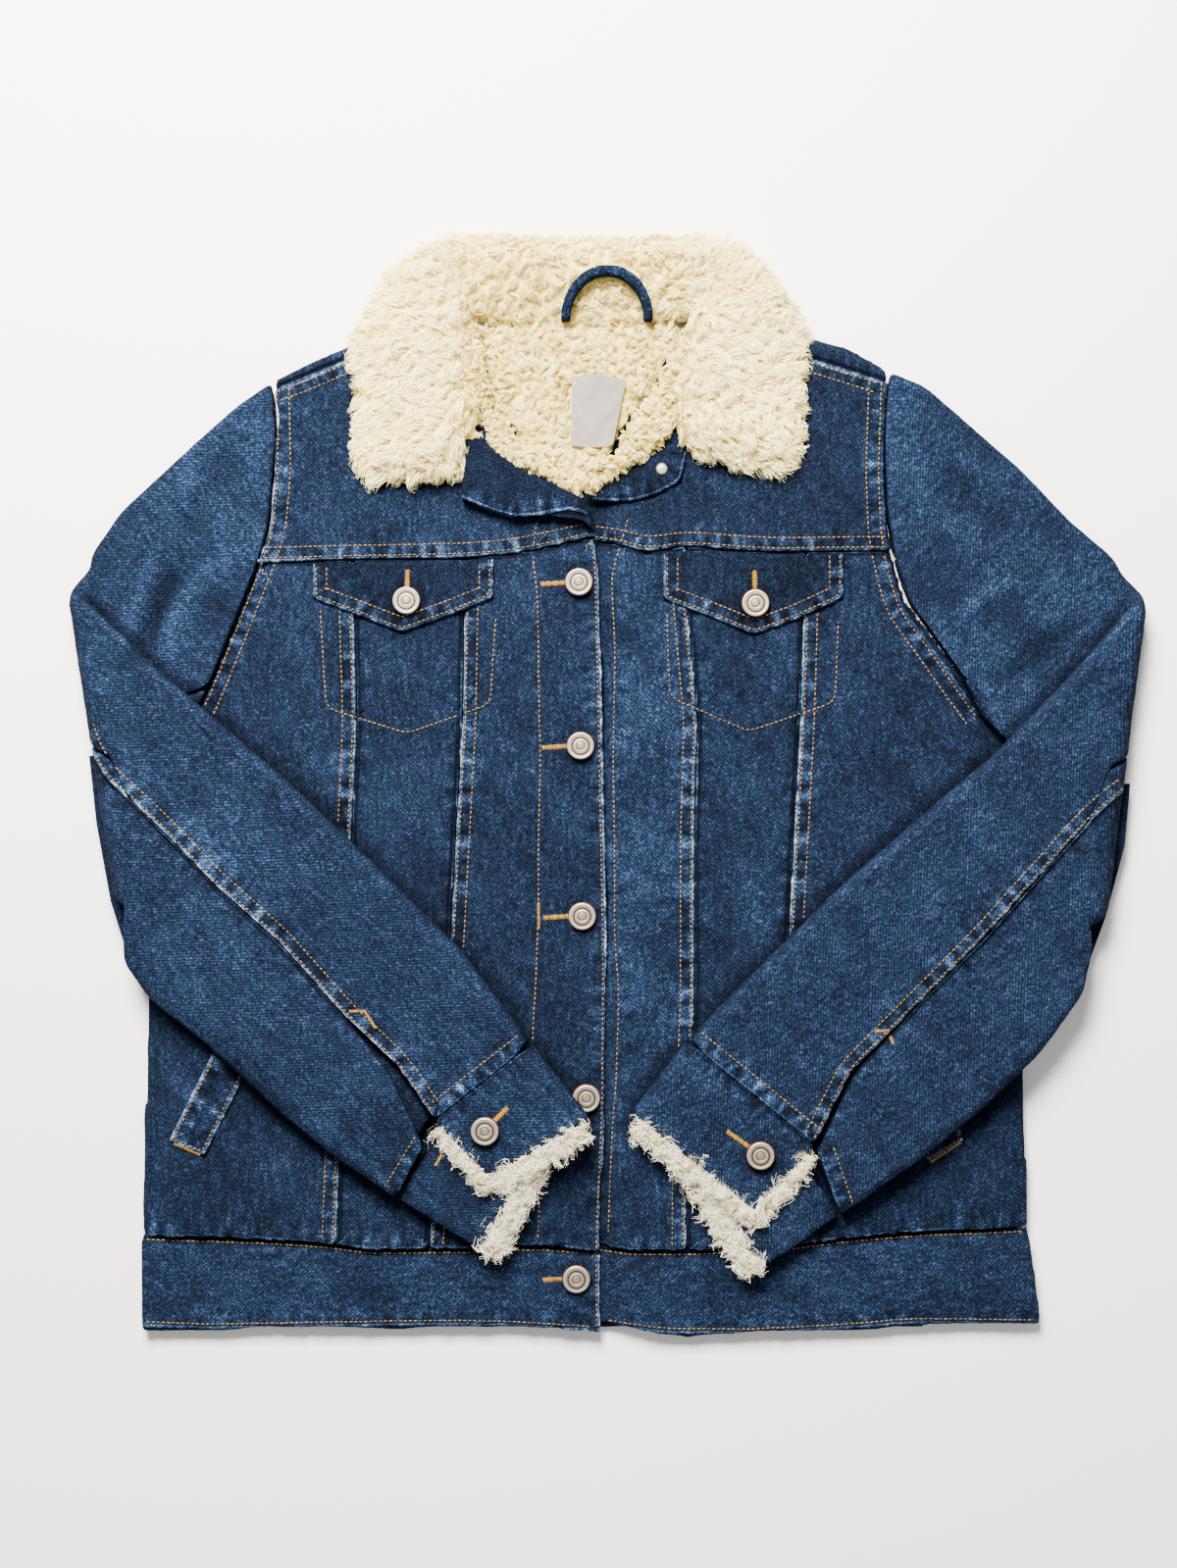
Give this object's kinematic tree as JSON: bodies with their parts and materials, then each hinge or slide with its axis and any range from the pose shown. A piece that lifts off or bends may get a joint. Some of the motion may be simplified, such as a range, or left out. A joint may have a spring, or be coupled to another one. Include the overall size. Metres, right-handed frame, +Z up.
{
  "type": "sherpa lined denim jacket",
  "caption": "Waist-length denim jacket lined with sherpa pile, laid flat on its back, buttoned, with a pile collar turned out and both sleeves folded over the front",
  "frame": {"origin": "bottom centre of the laid jacket's bounding box, on the surface it lies on", "axes": "+X is the wearer's left, +Y runs from the hem to the collar, +Z is up, square to the surface"},
  "size_m": [0.652, 0.6678, 0.0338],
  "materials": {
    "denim": "washed cotton twill with tan topstitching",
    "sherpa": "curly cream pile",
    "label": "plain grey satin label",
    "button_metal": "antiqued nickel with copper showing at the rim"
  },
  "bodies": {
    "root": {"back_panel": "denim", "button_cuff_l": "button_metal", "button_cuff_r": "button_metal", "button_flap_l": "button_metal", "button_flap_r": "button_metal", "button_front_1": "button_metal", "button_front_2": "button_metal", "button_front_3": "button_metal", "button_front_4": "button_metal", "button_front_5": "button_metal", "button_tack": "button_metal", "centre_front_l": "denim", "centre_front_r": "denim", "collar": "sherpa", "cuff_fringe_l": "sherpa", "cuff_fringe_low_l": "sherpa", "cuff_fringe_low_r": "sherpa", "cuff_fringe_r": "sherpa", "cuff_l": "denim", "cuff_r": "denim", "hanger_loop": "denim", "inner_front_l": "denim", "inner_front_r": "denim", "label": "label", "lapel_l": "denim", "lapel_r": "denim", "lining_back": "sherpa", "lining_front_l": "sherpa", "lining_front_r": "sherpa", "pocket_flap_l": "denim", "pocket_flap_r": "denim", "side_front_l": "denim", "side_front_r": "denim", "sleeve_top_l": "denim", "sleeve_top_r": "denim", "sleeve_under_l": "denim", "sleeve_under_r": "denim", "waistband_back": "denim", "waistband_l": "denim", "waistband_r": "denim", "welt_l": "denim", "welt_r": "denim", "yoke_front_l": "denim", "yoke_front_r": "denim"}
  },
  "joints": []
}
